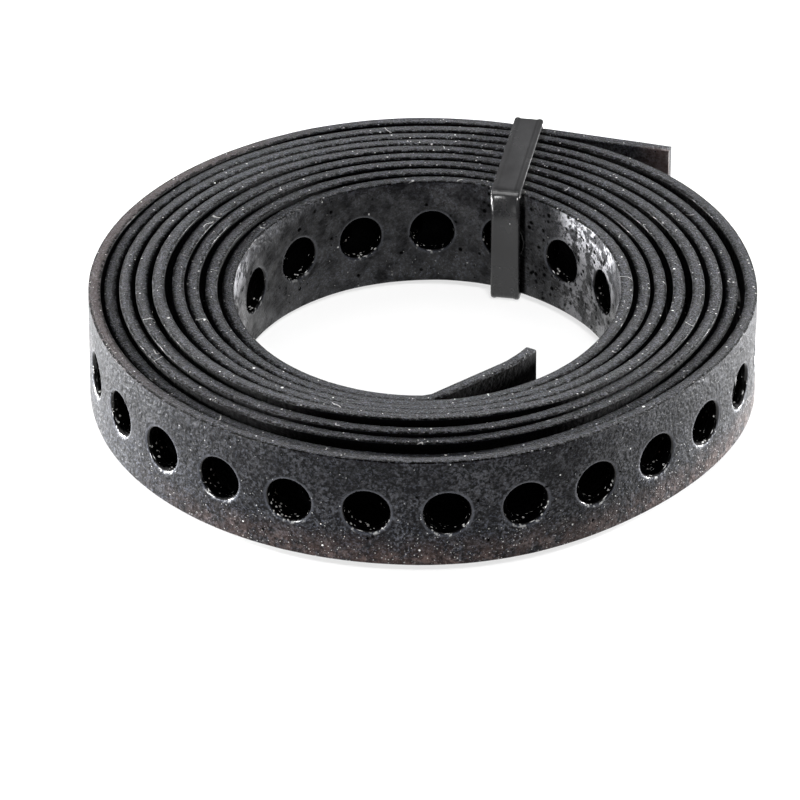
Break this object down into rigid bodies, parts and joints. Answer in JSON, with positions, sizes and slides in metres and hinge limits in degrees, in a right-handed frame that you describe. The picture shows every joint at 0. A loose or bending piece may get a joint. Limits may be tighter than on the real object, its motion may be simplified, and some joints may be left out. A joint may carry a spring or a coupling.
{
  "type": "perforated steel strap coil",
  "caption": "Coil of black plastic-coated perforated steel strap with a row of round holes, wound flat on its edge and held by one cable tie.",
  "frame": {"origin": "bottom centre of the whole coil's box: on the floor, under the middle of its width and depth", "axes": "+Z along the coil's axis, up from the floor it lies on; +Y towards the cable tie at the back; +X to the right seen from the front"},
  "size_m": [0.108, 0.113, 0.0213],
  "materials": {
    "coated_steel": "satin",
    "tie_plastic": "satin"
  },
  "bodies": {
    "root": {"strap": "coated_steel", "cable_tie": "tie_plastic"}
  },
  "joints": []
}
